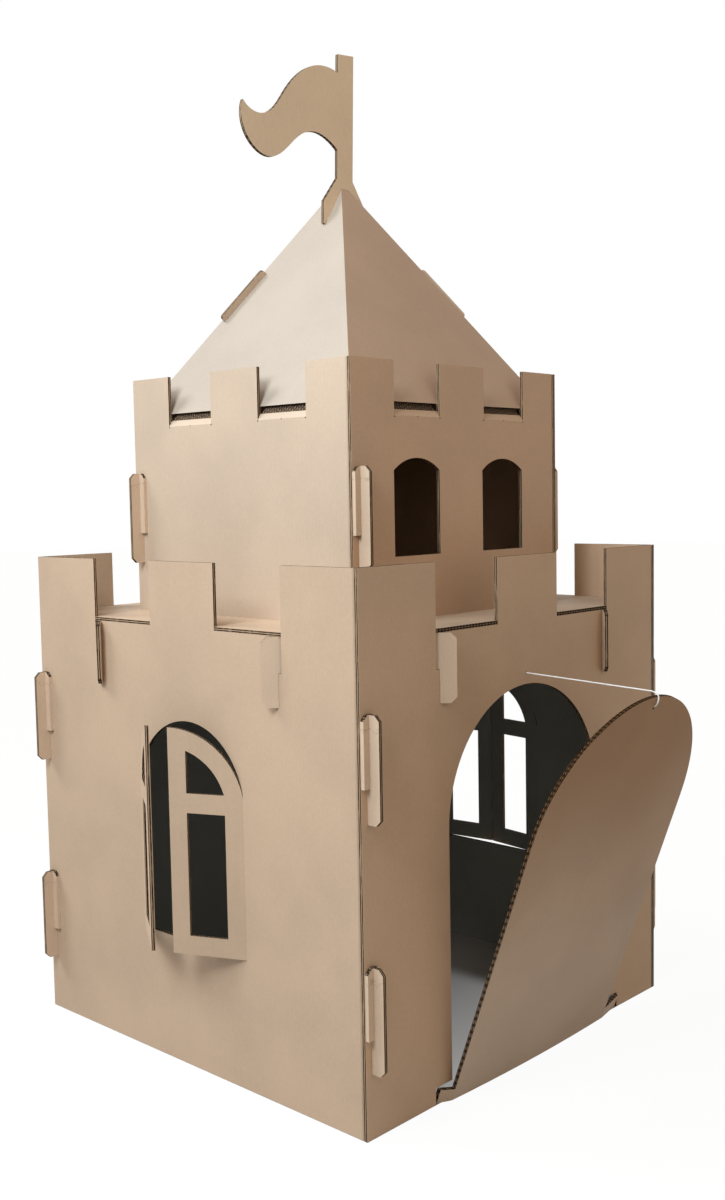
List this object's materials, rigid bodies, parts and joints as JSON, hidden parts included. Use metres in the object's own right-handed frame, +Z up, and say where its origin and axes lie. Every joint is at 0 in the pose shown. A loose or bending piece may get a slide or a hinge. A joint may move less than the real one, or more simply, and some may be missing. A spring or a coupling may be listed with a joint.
{
  "type": "cardboard castle",
  "caption": "Play castle of folded corrugated card: a square lower tower with drawbridge, a crenelled upper tower, a pyramid roof and a flag.",
  "frame": {"origin": "bottom centre of the whole castle's box, on the floor it stands on", "axes": "+Z up along the towers, -Y towards the drawbridge, +X to the right of someone who faces the door"},
  "size_m": [0.9604, 1.15, 1.8481],
  "materials": {
    "card": "matte",
    "string": "matte"
  },
  "bodies": {
    "root": {"lower_front_wall": "card", "lower_right_wall": "card", "lower_back_wall": "card", "lower_left_wall": "card", "deck": "card", "upper_front_wall": "card", "upper_right_wall": "card", "upper_back_wall": "card", "upper_left_wall": "card", "roof_left_front": "card", "roof_right_back": "card", "flag": "card", "drawbridge": "card", "string": "string", "string_knots": "string", "brace_front": "card", "clip_lower_front_low": "card", "clip_lower_front_high": "card", "clip_upper_front": "card", "brace_right": "card", "clip_lower_right_low": "card", "clip_lower_right_high": "card", "clip_upper_right": "card", "brace_back": "card", "clip_lower_back_low": "card", "clip_lower_back_high": "card", "clip_upper_back": "card", "brace_left": "card", "clip_lower_left_low": "card", "clip_lower_left_high": "card", "clip_upper_left": "card", "roof_clip_left": "card", "roof_clip_right": "card"}
  },
  "joints": []
}
